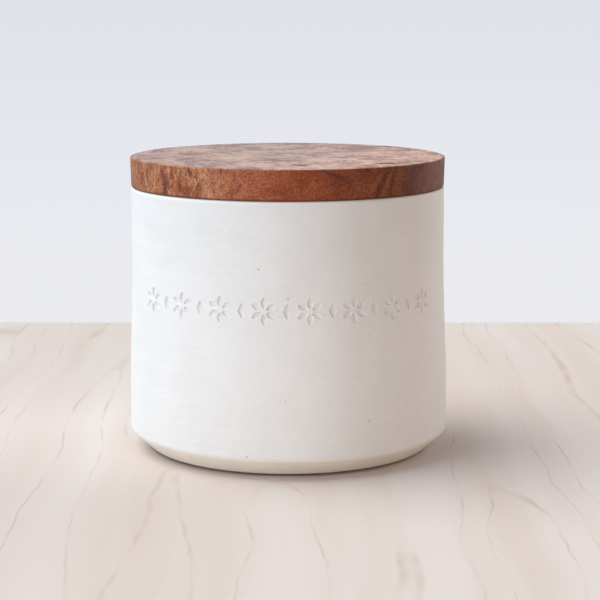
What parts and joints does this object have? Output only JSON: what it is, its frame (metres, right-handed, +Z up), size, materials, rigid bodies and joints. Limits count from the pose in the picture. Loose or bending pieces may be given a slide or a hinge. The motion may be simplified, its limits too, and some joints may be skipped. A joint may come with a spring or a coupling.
{
  "type": "salt jar",
  "caption": "Round stoneware salt jar with a bevelled foot, a stamped ornament on the front and a lift-off wooden lid whose spigot and seal drop into the mouth.",
  "frame": {"origin": "on the jar's axis, on the surface that the foot stands on", "axes": "+Z up along the jar's axis; the stamped front faces -Y; +X is to the right of someone facing the front"},
  "size_m": [0.1026, 0.1026, 0.0939],
  "materials": {
    "bare_stoneware": "matte",
    "matte_white_glaze": "matte",
    "liner_glaze": "satin",
    "oiled_wood": "satin",
    "clear_silicone": "satin"
  },
  "bodies": {
    "jar": {"stoneware_body": "bare_stoneware", "outer_glaze": "matte_white_glaze", "liner_glaze": "liner_glaze"},
    "lid": {"lid_board": "oiled_wood", "seal_ring": "clear_silicone"}
  },
  "joints": [
    {"name": "lid_lift", "type": "slide", "parent": "jar", "child": "lid", "axis": [0, 0, 1], "range_m": [0, 0.08]}
  ]
}
